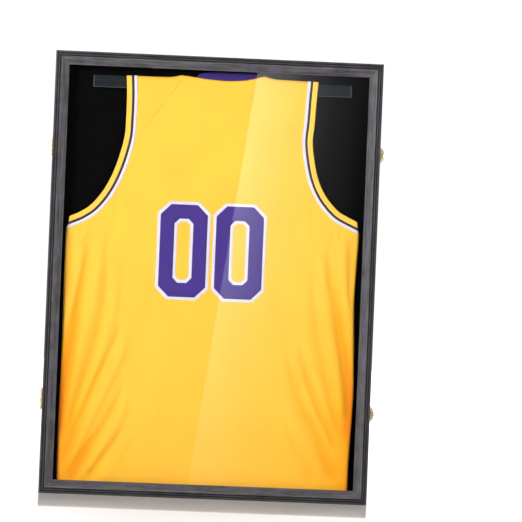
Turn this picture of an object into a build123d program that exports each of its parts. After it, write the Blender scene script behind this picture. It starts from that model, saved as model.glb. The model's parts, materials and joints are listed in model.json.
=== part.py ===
from build123d import *
import os
from math import sqrt

# Jersey display frame: a shallow wooden wall case with a hinged, glazed front door, two
# side latches and a flat hanger bar that carries a sleeveless jersey.
#
# X runs to the right, -Y towards the viewer, +Y towards the wall and Z up, all in millimetres.
# The origin is the centre of the case's bottom face.

# ---------------------------------------------------------------- driving dimensions

# Overall
WIDTH = 600.0
HEIGHT = 808.0
CASE_DEPTH = 25.0
DOOR_DEPTH = 15.0  # at the moulding's crest
PARTING_GAP = 0.4  # between the closed door and the case

# Case rails, backboard and lining
CASE_WALL = 16.0
REBATE_WIDTH = 5.0
BACKBOARD_RECESS = 4.0
BACKBOARD_THICKNESS = 3.0
FELT_THICKNESS = 1.2
PANEL_CLEARANCE = 0.4  # between a loose panel's edges and the wood round it

# Door moulding
MOULDING_WIDTH = 25.0
LIP_THICKNESS = 3.0  # the front lip at the sight edge
LIP_WIDTH = 5.0  # how far the lip laps over the pane
BAND_DROP = 5.0  # from the crest down to the sight edge
CREST_INSET = 11.0  # from the outer edge to the crest
EDGE_DROP = 3.6  # from the crest down to the flat outer side
REED_DROP = 1.0  # from the crest down to the tops of the two reeds
GROOVE_DEPTH = 2.5  # from the crest down to the grooves beside the reeds
GROOVE_WIDTH = 0.8
FIRST_GROOVE = 4.9  # from the outer edge to the middle of each groove
SECOND_GROOVE = 9.0

# Pane and glazing beads
PANE_THICKNESS = 2.0
BEAD_SETBACK = 0.8  # the beads' backs, in front of the door's back face
BEAD_BRAD_PITCH = 120.0
BRAD_RADIUS = 0.6
BRAD_LENGTH = 7.0

# Corner nails, V-shaped, driven into the mitres from behind
NAIL_LEG = 4.0
NAIL_THICKNESS = 0.6
NAIL_DEPTH = 7.0

# Hinges, on the left side
HINGE_INSET = 171.5  # from the frame's top and bottom to each hinge's middle
HINGE_HEIGHT = 38.0
LEAF_THICKNESS = 1.2
LEAF_REACH = 11.0  # from the hinge axis to a leaf's far edge
KNUCKLE_RADIUS = 2.1
KNUCKLE_GAP = 0.3  # between knuckles, and between a knuckle and what it turns past
PIN_RADIUS = 1.0
RUNNING_CLEARANCE = 0.05  # radial, between a pin and the knuckle that turns on it
PIN_HEAD_RADIUS = 1.6
PIN_HEAD_HEIGHT = 0.8

# Latches, on the right side
LATCH_INSET = 167.0
LATCH_HEIGHT = 28.5  # along the lever's dome
LATCH_RISE = 7.6  # from the frame's side to the dome's crown
LATCH_TAB_RISE = 10.7  # from the frame's side to the finger tab's end
LATCH_WALL = 1.2
LATCH_PLATE_HEIGHT = 21.0
LATCH_CLEARANCE = 0.3
LEVER_FRONT = 6.3  # from the parting plane forward to the dome's front edge
LEVER_LENGTH = 11.0  # the dome, front to back
LATCH_PIN_SETBACK = 13.2  # from the parting plane back to the latch pin
LATCH_STRAP_WIDTH = 8.0
LATCH_TAB_WIDTH = 5.2
LATCH_LIP_WIDTH = 9.0
LUG_RISE = 3.4
LUG_LENGTH = 1.8
LUG_HEIGHT = 17.0
LIP_UNDERCUT = 1.8  # how far the lever's lip reaches down behind the lug's crown
STRIKE_FRONT = 10.6  # from the door's back face forward to the strike plate's end
STRIKE_MARGIN = 1.0  # from the door's back face to the strike plate's near edge
STRIKE_SCREW_INSET = 2.6  # from the strike plate's front end to its screws
LATCH_SCREW_INSET = 3.0  # from the plates' upper and lower ends to their screws
LATCH_PLATE_FRONT = 2.2  # from the parting plane back to the case plate's front edge
LATCH_PLATE_TAIL = 6.5  # from the pin's knuckle back to the case plate's rear edge
LATCH_TAIL_SCREW = 4.0  # from the pin's knuckle back to the case plate's screws

# Hanger
HANGER_X = 7.0  # the hanger and the jersey sit a little right of centre
BAR_HEIGHT = 21.5
BAR_THICKNESS = 3.0
BAR_END_SPACE = 47.0  # from each end of the bar to the case's inside wall
BAR_BELOW_TOP = 41.0  # from the frame's top down to the bar's top edge
BAR_CORNER = 2.0
BAR_STANDOFF = 7.0  # from the felt to the bar's back
HOOK_WIDTH = 22.0
HOOK_THICKNESS = 1.4
RIVET_RADIUS = 1.5
RIVET_HEAD_RADIUS = 2.6
RIVET_HEAD_DEPTH = 1.1
RIVET_BELOW = 5.5  # from the bar's bottom edge up to the rivets
RIVET_SPREAD = 6.5  # from the hook's middle to each rivet
BRACKET_WIDTH = 34.0
BRACKET_HEIGHT = 44.0
BRACKET_THICKNESS = 1.5
BRACKET_CORNER = 3.0
BRACKET_SCREW_INSET = 6.0  # from the bracket's ends to its screws
BRACKET_GAP = 2.4  # the channel between the bracket's lip and its plate
HOOK_ENGAGEMENT = 5.0  # how far the hook's tongue reaches down behind the lip
HOOK_FLOOR_GAP = 1.5  # under the tongue, down to the bracket's shelf
HOOK_FOOT = 2.0  # from the bar's bottom edge up to the hook's plate
LIP_MARGIN = 1.0  # the bracket's lip is this much narrower than the hook on each side

# Jersey, folded to fit the case and hung with its back to the viewer
CLOTH_THICKNESS = 1.6
CLOTH_CLEARANCE = 0.4  # between the cloth and the bar
JERSEY_SIDE_SPACE = 17.0
JERSEY_HEM_SPACE = 2.0
SHOULDER_RISE = 4.5  # the shoulders' tops, above the bar
STRAP_OUTER = 175.5  # half the width across the shoulders
NECK_HALF_WIDTH = 73.5
BACK_NECK_DEPTH = 4.0
FRONT_NECK_DEPTH = 140.0
ARMHOLE_STRAIGHT = 95.0  # from the shoulder down to where the armhole starts to curve
ARMHOLE_DEPTH = 268.0  # from the shoulder down to the underarm point
COLLAR_HALF_WIDTH = 55.0
COLLAR_RISE = 17.5  # the neckband, above the bar

# Keyhole wall plates, let into the backs of the stiles
KEYHOLE_BELOW_TOP = 110.0
KEYHOLE_PLATE_HEIGHT = 40.0
KEYHOLE_PLATE_WIDTH = 9.6
KEYHOLE_PLATE_THICKNESS = 1.6
KEYHOLE_ENTRY_RADIUS = 3.2
KEYHOLE_SLOT_RADIUS = 1.6
KEYHOLE_SLOT_RISE = 8.0
KEYHOLE_POCKET_DEPTH = 5.0
KEYHOLE_POCKET_MARGIN = 0.4
KEYHOLE_SCREW_INSET = 4.0  # from the plate's ends to its screws

# Wood screws: shank radius, length, head radius, head height
SMALL_SCREW = (0.8, 8.0, 1.7, 0.7)
BOARD_SCREW = (1.1, 9.0, 2.4, 1.2)
BRACKET_SCREW = (1.2, 3.9, 2.6, 1.2)
BOARD_SCREW_PITCH = 200.0

# ---------------------------------------------------------------- derived places

SIDE = WIDTH / 2  # X of the right outer side
CASE_FRONT = -CASE_DEPTH / 2
CASE_BACK = CASE_DEPTH / 2
DOOR_BACK = CASE_FRONT - PARTING_GAP
PARTING = CASE_FRONT - PARTING_GAP / 2
BOARD_BACK = CASE_BACK - BACKBOARD_RECESS
BOARD_FRONT = BOARD_BACK - BACKBOARD_THICKNESS
FELT_FRONT = BOARD_FRONT - FELT_THICKNESS
RIM = CASE_WALL - REBATE_WIDTH  # width of the case's rear rim
PANE_FRONT = DOOR_DEPTH - BAND_DROP - LIP_THICKNESS  # from the door's back face
BAR_TOP = HEIGHT - BAR_BELOW_TOP
BAR_BACK = FELT_FRONT - BAR_STANDOFF
BAR_FRONT = BAR_BACK - BAR_THICKNESS
HINGE_AXIS_X = -SIDE - KNUCKLE_RADIUS - KNUCKLE_GAP
LATCH_PIN_RADIUS = PIN_RADIUS
LATCH_PIN_X = SIDE + LATCH_WALL + KNUCKLE_RADIUS + KNUCKLE_GAP
LATCH_PIN_Y = PARTING + LATCH_PIN_SETBACK
HINGE_LEVELS = {"lower": HINGE_INSET, "upper": HEIGHT - HINGE_INSET}
LATCH_LEVELS = {"lower": LATCH_INSET, "upper": HEIGHT - LATCH_INSET}

nodes = {}  # node name -> list of solids


# ---------------------------------------------------------------- helpers


def block(x, y, z):
    """A box from three (low, high) pairs."""
    size = [high - low for low, high in (x, y, z)]
    middle = [(low + high) / 2 for low, high in (x, y, z)]
    return Pos(*middle) * Box(*size)


def rod(radius, low, high):
    """A round bar along Z."""
    return Pos(0, 0, (low + high) / 2) * Cylinder(radius, high - low)


def flat_shape(outline, y_low, y_high):
    """A plate between two Y planes, from edges drawn in X and Z."""
    face = Plane.XZ * make_face(outline)
    plate = extrude(face, amount=y_high - y_low, dir=(0, 1, 0))
    return Pos(0, y_low, 0) * plate


def solids(shape):
    return list(shape.solids())


def screw(kind):
    """A pan-head screw: its head stands on Z = 0 and its shank runs down."""
    shank, length, head_radius, head_height = kind
    head = rod(head_radius, 0, head_height)
    head = fillet(head.edges().group_by(Axis.Z)[-1], head_height * 0.45)
    slot = head_radius * 1.3
    for turn in (0, 90):
        cross = Box(slot, head_radius * 0.28, head_height * 0.5)
        head -= Pos(0, 0, head_height) * Rot(0, 0, turn) * cross
    return head + rod(shank, -length, 0)


def screw_hole(kind):
    shank, length = kind[:2]
    return rod(shank, -length, 0)


def at(point, towards):
    """The place of a screw whose head faces towards a direction."""
    return Plane(origin=point, z_dir=towards)


def mitred_rail(profile, length, half_across, width, angle):
    """One side of a mitred frame: its profile is drawn in Y and Z, its outer edge at Z = 0."""
    bar = extrude(Plane.YZ * profile, amount=length / 2, both=True)
    half = length / 2
    trapezoid = Polyline((-half, 0), (half, 0), (half - width, width), (width - half, width), (-half, 0))
    bar &= flat_shape(trapezoid, -CASE_DEPTH * 4, CASE_DEPTH * 4)
    return Pos(0, 0, HEIGHT / 2) * Rot(0, angle, 0) * Pos(0, 0, -half_across) * bar


def mitred_frame(profile, width):
    """The four mitred sides, by name."""
    return {
        "bottom_rail": mitred_rail(profile, WIDTH, HEIGHT / 2, width, 0),
        "left_stile": mitred_rail(profile, HEIGHT, WIDTH / 2, width, 90),
        "top_rail": mitred_rail(profile, WIDTH, HEIGHT / 2, width, 180),
        "right_stile": mitred_rail(profile, HEIGHT, WIDTH / 2, width, 270),
    }


def corner_nails(inset, back):
    """One V-shaped nail across each mitre, driven forward from the Y plane called back."""
    leg = Box(NAIL_LEG, NAIL_DEPTH, NAIL_THICKNESS)
    nail = Pos(NAIL_LEG / 2, 0, 0) * leg
    nail += Rot(0, 90, 0) * Pos(NAIL_LEG / 2, 0, 0) * leg
    nail += Box(NAIL_THICKNESS, NAIL_DEPTH, NAIL_THICKNESS)
    placed = []
    for side in (-1, 1):
        for level, turn in ((inset, 0), (HEIGHT - inset, 180)):
            spin = turn + (90 if side * (1 if turn == 0 else -1) > 0 else 180)
            place = Pos(side * (SIDE - inset), back - NAIL_DEPTH / 2, level)
            placed.append(place * Rot(0, spin, 0) * nail)
    return placed


# ---------------------------------------------------------------- case


def case_profile():
    """Section of a case rail: a plain board with a rebate behind for the backboard."""
    return make_face(
        Polyline(
            (CASE_FRONT, 0),
            (CASE_FRONT, CASE_WALL),
            (BOARD_FRONT, CASE_WALL),
            (BOARD_FRONT, RIM),
            (CASE_BACK, RIM),
            (CASE_BACK, 0),
            (CASE_FRONT, 0),
        )
    )


def board_screw_places():
    """Screws round the backboard's edge, evenly spaced, halfway across the rebate."""
    inset = RIM + REBATE_WIDTH / 2
    half_x, half_z = SIDE - inset, HEIGHT / 2 - inset
    places = []
    for half, other, upright in ((half_x, half_z, False), (half_z, half_x, True)):
        count = max(2, round(2 * half / BOARD_SCREW_PITCH))
        for k in range(count):
            along = -half + 2 * half * (k + 0.5) / count
            for side in (-1, 1):
                x, z = (side * other, along) if upright else (along, side * other)
                places.append((x, BOARD_BACK, HEIGHT / 2 + z))
    return places


def keyhole_places():
    return [(side * (SIDE - RIM / 2), HEIGHT - KEYHOLE_BELOW_TOP) for side in (-1, 1)]


def keyhole_screw_places(x, z):
    reach = KEYHOLE_PLATE_HEIGHT / 2 - KEYHOLE_SCREW_INSET
    return [(x, CASE_BACK - KEYHOLE_PLATE_THICKNESS / 2, z + up * reach) for up in (-1, 1)]


def keyhole_plate(x, z):
    """A flat plate with a round entry and a narrower slot above it."""
    half_width, half_height = KEYHOLE_PLATE_WIDTH / 2, KEYHOLE_PLATE_HEIGHT / 2
    back, front = CASE_BACK, CASE_BACK - KEYHOLE_PLATE_THICKNESS
    plate = block((-half_width, half_width), (front, back), (-half_height, half_height))
    through = Rot(90, 0, 0)
    thickness = KEYHOLE_PLATE_THICKNESS * 4
    plate -= Pos(0, back, 0) * through * Cylinder(KEYHOLE_ENTRY_RADIUS, thickness)
    plate -= Pos(0, back, KEYHOLE_SLOT_RISE) * through * Cylinder(KEYHOLE_SLOT_RADIUS, thickness)
    slot = (-KEYHOLE_SLOT_RADIUS, KEYHOLE_SLOT_RADIUS)
    plate -= block(slot, (front - 1, back + 1), (0, KEYHOLE_SLOT_RISE))
    return Pos(x, 0, z) * plate


def keyhole_recess(x, z):
    """The shallow seat of the plate and the deeper pocket for the wall screw's head."""
    half_width, half_height = KEYHOLE_PLATE_WIDTH / 2, KEYHOLE_PLATE_HEIGHT / 2
    seat_front = CASE_BACK - KEYHOLE_PLATE_THICKNESS
    seat = block((-half_width, half_width), (seat_front, CASE_BACK), (-half_height, half_height))
    radius = KEYHOLE_ENTRY_RADIUS + KEYHOLE_POCKET_MARGIN
    pocket_front = seat_front - KEYHOLE_POCKET_DEPTH
    pocket = block((-radius, radius), (pocket_front, seat_front), (0, KEYHOLE_SLOT_RISE))
    middle = (pocket_front + seat_front) / 2
    for up in (0, KEYHOLE_SLOT_RISE):
        pocket += Pos(0, middle, up) * Rot(90, 0, 0) * Cylinder(radius, KEYHOLE_POCKET_DEPTH)
    return Pos(x, 0, z) * (seat + pocket)


def build_case():
    rails = mitred_frame(case_profile(), CASE_WALL)
    nails = corner_nails(RIM / 2, CASE_BACK)
    screws = [at(p, (0, 1, 0)) * screw(BOARD_SCREW) for p in board_screw_places()]
    holes = [at(p, (0, 1, 0)) * screw_hole(BOARD_SCREW) for p in board_screw_places()]

    plates, plate_screws = [], []
    for x, z in keyhole_places():
        plate = keyhole_plate(x, z)
        for place in keyhole_screw_places(x, z):
            plate_screws.append(at(place, (0, 1, 0)) * screw(SMALL_SCREW))
            plate -= plate_screws[-1]
        plates.append(plate)
        side = "left_stile" if x < 0 else "right_stile"
        rails[side] -= keyhole_recess(x, z)
    nodes["keyhole_plate_left"], nodes["keyhole_plate_right"] = [solids(p) for p in plates]
    nodes["keyhole_screws"] = plate_screws

    for name, rail in rails.items():
        for cutter in nails + holes + plate_screws + side_fastener_holes("case"):
            if cutter.bounding_box().overlaps(rail.bounding_box()):
                rail -= cutter
        nodes["case_" + name] = solids(rail)
    nodes["case_corner_nails"] = nails

    board_x = SIDE - RIM - PANEL_CLEARANCE
    board_z = HEIGHT / 2 - RIM - PANEL_CLEARANCE
    board = block(
        (-board_x, board_x), (BOARD_FRONT, BOARD_BACK), (HEIGHT / 2 - board_z, HEIGHT / 2 + board_z)
    )
    felt_x = SIDE - CASE_WALL - PANEL_CLEARANCE
    felt_z = HEIGHT / 2 - CASE_WALL - PANEL_CLEARANCE
    felt = block(
        (-felt_x, felt_x), (FELT_FRONT, BOARD_FRONT), (HEIGHT / 2 - felt_z, HEIGHT / 2 + felt_z)
    )
    for hole in holes + bracket_screw_holes():
        board -= hole
    for hole in bracket_screw_holes():
        felt -= hole
    nodes["backboard"] = solids(board)
    nodes["backboard_screws"] = screws
    nodes["felt_lining"] = solids(felt)


# ---------------------------------------------------------------- door


def moulding_profile():
    """Section of the door's moulding: two reeds, a crest and a coved band to the sight edge."""
    crest = DOOR_DEPTH
    half_groove = GROOVE_WIDTH / 2
    groove = crest - GROOVE_DEPTH
    edge_top = (FIRST_GROOVE / 2, crest - REED_DROP - 0.3)
    reed_top = ((FIRST_GROOVE + SECOND_GROOVE) / 2, crest - REED_DROP)
    band_middle = ((CREST_INSET + MOULDING_WIDTH) / 2, crest - BAND_DROP * 0.6)
    corners = {
        "outer": (0, crest - EDGE_DROP),
        "first_low": (FIRST_GROOVE - half_groove, groove),
        "first_high": (FIRST_GROOVE + half_groove, groove),
        "second_low": (SECOND_GROOVE - half_groove, groove),
        "second_high": (SECOND_GROOVE + half_groove, groove),
        "crest": (CREST_INSET, crest),
        "sight": (MOULDING_WIDTH, crest - BAND_DROP),
    }
    # Sizes above are (inwards, forwards); the section is drawn in Y and Z, with -Y forwards.
    drawn = {name: (DOOR_BACK - d, w) for name, (w, d) in corners.items()}
    rebate = MOULDING_WIDTH - LIP_WIDTH

    def forward(point):
        return (DOOR_BACK - point[1], point[0])

    edges = [
        Line((DOOR_BACK, 0), drawn["outer"]),
        ThreePointArc(drawn["outer"], forward(edge_top), drawn["first_low"]),
        Line(drawn["first_low"], drawn["first_high"]),
        ThreePointArc(drawn["first_high"], forward(reed_top), drawn["second_low"]),
        Line(drawn["second_low"], drawn["second_high"]),
        Line(drawn["second_high"], drawn["crest"]),
        ThreePointArc(drawn["crest"], forward(band_middle), drawn["sight"]),
        Line(drawn["sight"], (DOOR_BACK - PANE_FRONT, MOULDING_WIDTH)),
        Line((DOOR_BACK - PANE_FRONT, MOULDING_WIDTH), (DOOR_BACK - PANE_FRONT, rebate)),
        Line((DOOR_BACK - PANE_FRONT, rebate), (DOOR_BACK, rebate)),
        Line((DOOR_BACK, rebate), (DOOR_BACK, 0)),
    ]
    return make_face(edges)


def bead_profile():
    """Section of a glazing bead, with its inner rear corner rounded off."""
    low = MOULDING_WIDTH - LIP_WIDTH
    front = DOOR_BACK - PANE_FRONT + PANE_THICKNESS
    back = DOOR_BACK - BEAD_SETBACK
    radius = (back - front) / 2
    bead = Pos((front + back) / 2, (low + MOULDING_WIDTH) / 2) * Rectangle(back - front, LIP_WIDTH)
    corner = bead.vertices().sort_by(Axis.X)[-2:].sort_by(Axis.Y)[-1]
    return fillet(corner, radius)


def glazing_beads():
    """Four mitred beads by name, each with its length, its distance from the middle and its turn."""
    beads = {}
    low = MOULDING_WIDTH - LIP_WIDTH
    spans = {
        "bottom": (WIDTH, HEIGHT / 2, 0),
        "left": (HEIGHT, WIDTH / 2, 90),
        "top": (WIDTH, HEIGHT / 2, 180),
        "right": (HEIGHT, WIDTH / 2, 270),
    }
    for name, (length, across, angle) in spans.items():
        bead = mitred_rail(bead_profile(), length, across, MOULDING_WIDTH, angle)
        beads[name] = (bead, length - 2 * low, across, angle)
    return beads


def build_door():
    rails = mitred_frame(moulding_profile(), MOULDING_WIDTH)
    nails = corner_nails(MOULDING_WIDTH * 0.4, DOOR_BACK)
    nodes["door_corner_nails"] = nails

    brads = []
    for name, (bead, length, across, angle) in glazing_beads().items():
        count = max(2, round(length / BEAD_BRAD_PITCH))
        middle = DOOR_BACK - (PANE_FRONT - PANE_THICKNESS + BEAD_SETBACK) / 2
        place = Pos(0, 0, HEIGHT / 2) * Rot(0, angle, 0)
        for k in range(count):
            along = -length / 2 + length * (k + 0.5) / count
            brad = Pos(along, middle, MOULDING_WIDTH - across) * rod(BRAD_RADIUS, -BRAD_LENGTH, 0)
            brads.append(place * brad)
            bead -= brads[-1]
        nodes["glazing_bead_" + name] = solids(bead)
    nodes["glazing_brads"] = brads

    for name, rail in rails.items():
        for cutter in nails + brads + side_fastener_holes("door"):
            if cutter.bounding_box().overlaps(rail.bounding_box()):
                rail -= cutter
        nodes["door_" + name] = solids(rail)

    pane_x = SIDE - MOULDING_WIDTH + LIP_WIDTH - PANEL_CLEARANCE
    pane_z = HEIGHT / 2 - MOULDING_WIDTH + LIP_WIDTH - PANEL_CLEARANCE
    front = DOOR_BACK - PANE_FRONT
    nodes["acrylic_pane"] = solids(
        block(
            (-pane_x, pane_x),
            (front, front + PANE_THICKNESS),
            (HEIGHT / 2 - pane_z, HEIGHT / 2 + pane_z),
        )
    )


# ---------------------------------------------------------------- hinges


def knuckle_spans():
    """Z spans of the three knuckles about the hinge's middle: two on the case, one between."""
    third = (HINGE_HEIGHT - 2 * KNUCKLE_GAP) / 3
    half = HINGE_HEIGHT / 2
    inner = half - third - KNUCKLE_GAP
    return [(-half, third - half), (-inner, inner), (half - third, half)]


def hinge_screw_places(level, part):
    direction = 1 if part == "case" else -1
    y = PARTING + direction * (LEAF_REACH * 0.62)
    reach = HINGE_HEIGHT * 0.3
    return [(-SIDE - LEAF_THICKNESS, y, level + up * reach) for up in (-1, 1)]


def hinge_leaf(level, part):
    direction = 1 if part == "case" else -1
    own = knuckle_spans()[::2] if part == "case" else knuckle_spans()[1:2]
    others = knuckle_spans()[1:2] if part == "case" else knuckle_spans()[::2]
    near = PARTING + direction * PARTING_GAP
    far = PARTING + direction * LEAF_REACH
    half = HINGE_HEIGHT / 2
    plate = block((-SIDE - LEAF_THICKNESS, -SIDE), (min(near, far), max(near, far)), (-half, half))
    upright = plate.edges().filter_by(Axis.X).sort_by(Axis.Y)
    plate = fillet(upright[-2:] if direction > 0 else upright[:2], LEAF_THICKNESS * 1.5)
    axis = Pos(HINGE_AXIS_X, PARTING, 0)
    for low, high in others:
        plate -= axis * rod(KNUCKLE_RADIUS + KNUCKLE_GAP, low - KNUCKLE_GAP, high + KNUCKLE_GAP)
    for low, high in own:
        plate += axis * rod(KNUCKLE_RADIUS, low, high)
    bore = PIN_RADIUS if part == "case" else PIN_RADIUS + RUNNING_CLEARANCE
    plate -= axis * rod(bore, -half, half)
    plate = Pos(0, 0, level) * plate
    for place in hinge_screw_places(level, part):
        plate -= at(place, (-1, 0, 0)) * screw_hole(SMALL_SCREW)
    return plate


def hinge_pin(level):
    half = HINGE_HEIGHT / 2
    pin = rod(PIN_RADIUS, -half, half)
    for low, high in ((-half - PIN_HEAD_HEIGHT, -half), (half, half + PIN_HEAD_HEIGHT)):
        pin += rod(PIN_HEAD_RADIUS, low, high)
    rims = pin.edges().filter_by(GeomType.CIRCLE).sort_by(Axis.Z)
    pin = fillet([rims[0], rims[-1]], PIN_HEAD_HEIGHT * 0.5)
    return Pos(HINGE_AXIS_X, PARTING, level) * pin


def build_hinges():
    for part in ("case", "door"):
        screws = []
        for name, level in HINGE_LEVELS.items():
            nodes[f"hinge_{part}_leaf_{name}"] = solids(hinge_leaf(level, part))
            for place in hinge_screw_places(level, part):
                screws.append(at(place, (-1, 0, 0)) * screw(SMALL_SCREW))
        nodes[f"hinge_{part}_screws"] = screws
    for name, level in HINGE_LEVELS.items():
        nodes[f"hinge_pin_{name}"] = solids(hinge_pin(level))


# ---------------------------------------------------------------- latches


def latch_screw_places(level, part):
    reach = LATCH_PLATE_HEIGHT / 2 - LATCH_SCREW_INSET
    if part == "case":
        y = LATCH_PIN_Y + KNUCKLE_RADIUS + LATCH_TAIL_SCREW
    else:
        y = DOOR_BACK - STRIKE_FRONT + STRIKE_SCREW_INSET
    return [(SIDE + LATCH_WALL, y, level + up * reach) for up in (-1, 1)]


def side_fastener_holes(part):
    """Every screw hole in one part's outer sides."""
    holes = []
    for level in HINGE_LEVELS.values():
        for place in hinge_screw_places(level, part):
            holes.append(at(place, (-1, 0, 0)) * screw_hole(SMALL_SCREW))
    for level in LATCH_LEVELS.values():
        for place in latch_screw_places(level, part):
            holes.append(at(place, (1, 0, 0)) * screw_hole(SMALL_SCREW))
    return holes


def latch_case_plate(level):
    """The plate on the case, with two knuckles that hold the latch pin."""
    half = LATCH_PLATE_HEIGHT / 2
    front = PARTING + LATCH_PLATE_FRONT
    back = LATCH_PIN_Y + KNUCKLE_RADIUS + LATCH_PLATE_TAIL
    plate = block((SIDE, SIDE + LATCH_WALL), (front, back), (-half, half))
    plate = fillet(plate.edges().filter_by(Axis.X).sort_by(Axis.Y)[-2:], LATCH_WALL * 1.5)
    inner = LATCH_STRAP_WIDTH / 2 + LATCH_CLEARANCE
    for low, high in ((-half + 1, -inner), (inner, half - 1)):
        plate += Pos(LATCH_PIN_X, LATCH_PIN_Y, 0) * rod(KNUCKLE_RADIUS, low, high)
        neck = (LATCH_PIN_Y - KNUCKLE_RADIUS / 2, LATCH_PIN_Y + KNUCKLE_RADIUS / 2)
        plate += block((SIDE + LATCH_WALL / 2, LATCH_PIN_X), neck, (low, high))
    plate -= Pos(LATCH_PIN_X, LATCH_PIN_Y, 0) * rod(LATCH_PIN_RADIUS, -half, half)
    plate = Pos(0, 0, level) * plate
    for place in latch_screw_places(level, "case"):
        plate -= at(place, (1, 0, 0)) * screw_hole(SMALL_SCREW)
    return plate


def latch_pin(level):
    half = LATCH_PLATE_HEIGHT / 2
    pin = rod(LATCH_PIN_RADIUS, -half, half)
    rims = pin.edges().filter_by(GeomType.CIRCLE)
    return Pos(LATCH_PIN_X, LATCH_PIN_Y, level) * chamfer(rims, LATCH_PIN_RADIUS * 0.25)


def dome_section(rise, half_height):
    """A circular segment on the frame's side, drawn in X and Z."""
    foot = SIDE + LATCH_CLEARANCE
    return [
        Line((foot, -half_height), (foot, half_height)),
        ThreePointArc((foot, half_height), (SIDE + rise, 0), (foot, -half_height)),
    ]


def latch_lever(level):
    """The domed lever: a shell over the parting line, a strap to the pin, a lip and a tab."""
    front = PARTING - LEVER_FRONT
    back = front + LEVER_LENGTH
    half = LATCH_HEIGHT / 2
    shell = flat_shape(dome_section(LATCH_RISE, half), front, back)
    hollow = flat_shape(dome_section(LATCH_RISE - LATCH_WALL, half - LATCH_WALL), front - 1, back + 1)
    lever = shell - hollow

    crown = SIDE + LATCH_RISE
    strap_half = LATCH_STRAP_WIDTH / 2
    knuckle_top = LATCH_PIN_X + KNUCKLE_RADIUS
    strap = Polyline(
        (LATCH_PIN_X, LATCH_PIN_Y),
        (knuckle_top, LATCH_PIN_Y),
        (crown - LATCH_WALL * 0.4, back),
        (crown - LATCH_WALL * 0.4, back - LATCH_WALL),
        (crown - LATCH_WALL * 1.6, back - LATCH_WALL),
        (knuckle_top - LATCH_WALL, LATCH_PIN_Y - KNUCKLE_RADIUS),
        (LATCH_PIN_X, LATCH_PIN_Y),
    )
    lever += extrude(make_face(strap), amount=strap_half, both=True)
    pin_axis = Pos(LATCH_PIN_X, LATCH_PIN_Y, 0)
    lever += pin_axis * rod(KNUCKLE_RADIUS, -strap_half, strap_half)

    lip_foot = SIDE + LUG_RISE - LIP_UNDERCUT
    lip_half = LATCH_LIP_WIDTH / 2
    lever += block((lip_foot, crown - LATCH_WALL), (front, front + LATCH_WALL), (-lip_half, lip_half))

    tab_half = LATCH_TAB_WIDTH / 2
    flare = LATCH_WALL * 1.2
    tab = Polyline(
        (crown - LATCH_WALL, front),
        (SIDE + LATCH_TAB_RISE, front - flare),
        (SIDE + LATCH_TAB_RISE, front - flare + LATCH_WALL),
        (crown - LATCH_WALL, front + LATCH_WALL),
        (crown - LATCH_WALL, front),
    )
    lever += extrude(make_face(tab), amount=tab_half, both=True)
    lever -= pin_axis * rod(LATCH_PIN_RADIUS + RUNNING_CLEARANCE, -half, half)
    return Pos(0, 0, level) * lever


def latch_strike(level):
    """The plate on the door, with the lug that the lever's lip hooks over."""
    half = LATCH_PLATE_HEIGHT / 2
    lip_back = PARTING - LEVER_FRONT + LATCH_WALL
    lug_front = lip_back + LATCH_CLEARANCE
    span = (DOOR_BACK - STRIKE_FRONT, DOOR_BACK - STRIKE_MARGIN)
    plate = block((SIDE, SIDE + LATCH_WALL), span, (-half, half))
    plate = fillet(plate.edges().filter_by(Axis.X).sort_by(Axis.Y)[:2], LATCH_WALL * 1.5)
    lug_half = LUG_HEIGHT / 2
    lug = block((SIDE, SIDE + LUG_RISE), (lug_front, lug_front + LUG_LENGTH), (-lug_half, lug_half))
    plate += fillet(lug.edges().filter_by(Axis.Y).sort_by(Axis.X)[-2:], LATCH_WALL)
    plate = Pos(0, 0, level) * plate
    for place in latch_screw_places(level, "door"):
        plate -= at(place, (1, 0, 0)) * screw_hole(SMALL_SCREW)
    return plate


def build_latches():
    for name, level in LATCH_LEVELS.items():
        nodes["latch_case_plate_" + name] = solids(latch_case_plate(level))
        nodes["latch_pin_" + name] = solids(latch_pin(level))
        nodes["latch_lever_" + name] = solids(latch_lever(level))
        nodes["latch_strike_" + name] = solids(latch_strike(level))
    for node, part in (("latch_case_screws", "case"), ("latch_strike_screws", "door")):
        nodes[node] = [
            at(place, (1, 0, 0)) * screw(SMALL_SCREW)
            for level in LATCH_LEVELS.values()
            for place in latch_screw_places(level, part)
        ]


# ---------------------------------------------------------------- hanger


def bracket_screw_places():
    z = BAR_TOP - BAR_HEIGHT / 2
    reach = BRACKET_HEIGHT / 2 - BRACKET_SCREW_INSET
    return [(HANGER_X, FELT_FRONT - BRACKET_THICKNESS, z + up * reach) for up in (-1, 1)]


def bracket_screw_holes():
    return [at(p, (0, -1, 0)) * screw_hole(BRACKET_SCREW) for p in bracket_screw_places()]


def lip_top():
    """The bracket's bearing edge, which carries the hook."""
    return BAR_TOP - BAR_HEIGHT / 2 + HOOK_THICKNESS


def hanger_bracket():
    """A plate on the felt, with a shelf and an upturned lip."""
    plate_back = FELT_FRONT
    plate_front = plate_back - BRACKET_THICKNESS
    lip_back = plate_front - BRACKET_GAP
    lip_front = lip_back - HOOK_THICKNESS
    middle = BAR_TOP - BAR_HEIGHT / 2
    half, half_height = BRACKET_WIDTH / 2, BRACKET_HEIGHT / 2
    shelf_top = lip_top() - HOOK_ENGAGEMENT - HOOK_FLOOR_GAP
    plate = block((-half, half), (plate_front, plate_back), (middle - half_height, middle + half_height))
    plate = fillet(plate.edges().filter_by(Axis.Y), BRACKET_CORNER)
    inner = HOOK_WIDTH / 2 - LIP_MARGIN
    plate += block((-inner, inner), (lip_front, plate_front), (shelf_top - HOOK_THICKNESS, shelf_top))
    plate += block((-inner, inner), (lip_front, lip_back), (shelf_top - HOOK_THICKNESS, lip_top()))
    plate = Pos(HANGER_X, 0, 0) * plate
    for hole in bracket_screw_holes():
        plate -= hole
    return plate


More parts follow.
